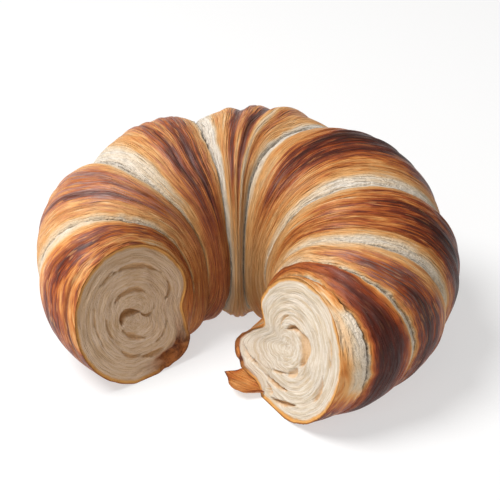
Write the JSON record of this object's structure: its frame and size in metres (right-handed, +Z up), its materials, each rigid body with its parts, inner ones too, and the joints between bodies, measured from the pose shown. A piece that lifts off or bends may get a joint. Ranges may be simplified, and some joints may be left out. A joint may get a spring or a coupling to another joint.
{
  "type": "croissant",
  "caption": "Baked crescent roll curled nearly into a ring, ridged by its rolled layers, lying on a flat underside, with both tips cut off to show the crumb.",
  "frame": {"origin": "centre of the bounding box's bottom face, on the surface the croissant rests on", "axes": "+Z up. +X along the croissant's greatest breadth, from the shorter arm to the longer one. -Y out of the open side, where both cut ends face, and +Y towards the thick middle at the back."},
  "size_m": [0.1374, 0.1258, 0.0643],
  "materials": {
    "crust": "satin baked crust, golden to dark brown, with pale bands beside the seams; cream crumb on the cut ends"
  },
  "bodies": {
    "root": {"croissant": "crust"}
  },
  "joints": []
}
